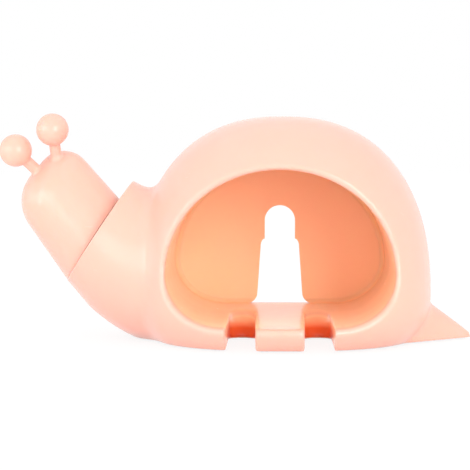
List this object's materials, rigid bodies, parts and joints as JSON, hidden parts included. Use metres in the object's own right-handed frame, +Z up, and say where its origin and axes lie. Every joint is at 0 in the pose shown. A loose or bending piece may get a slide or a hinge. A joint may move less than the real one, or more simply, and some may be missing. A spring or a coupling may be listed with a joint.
{
  "type": "tape dispenser",
  "caption": "Snail-shaped desk holder: hollow moulded shell with a D-shaped mouth, notched sill, slotted rear cover, flat tail and a turning head with stalked eyes.",
  "frame": {"origin": "under the centre of the bounding box, at the soles of the feet", "axes": "+Z up, +X towards the tail tip, +Y towards the flat back; the mouth opens towards -Y"},
  "size_m": [0.1605, 0.0882, 0.077],
  "materials": {
    "peach_plastic": "glossy moulded plastic, slightly translucent",
    "steel": "zinc plated",
    "iron": "as cast",
    "rubber": "matte non-slip"
  },
  "bodies": {
    "holder": {"body_shell": "peach_plastic", "rear_cover": "peach_plastic", "cover_screw_1": "steel", "cover_screw_2": "steel", "cover_screw_3": "steel", "cover_screw_4": "steel", "ballast_block": "iron", "foot_front_left": "rubber", "foot_front_right": "rubber", "foot_back_left": "rubber", "foot_back_right": "rubber"},
    "turning_head": {"head": "peach_plastic", "eye_left": "peach_plastic", "eye_right": "peach_plastic", "swivel_washer": "steel", "swivel_screw": "steel"}
  },
  "joints": [
    {"name": "head_swivel", "type": "hinge", "parent": "holder", "child": "turning_head", "pos_m": [-0.04927, 0.00151, 0.03331], "axis": [-0.8339, 0, 0.5519], "range_deg": [-90, 90]}
  ]
}
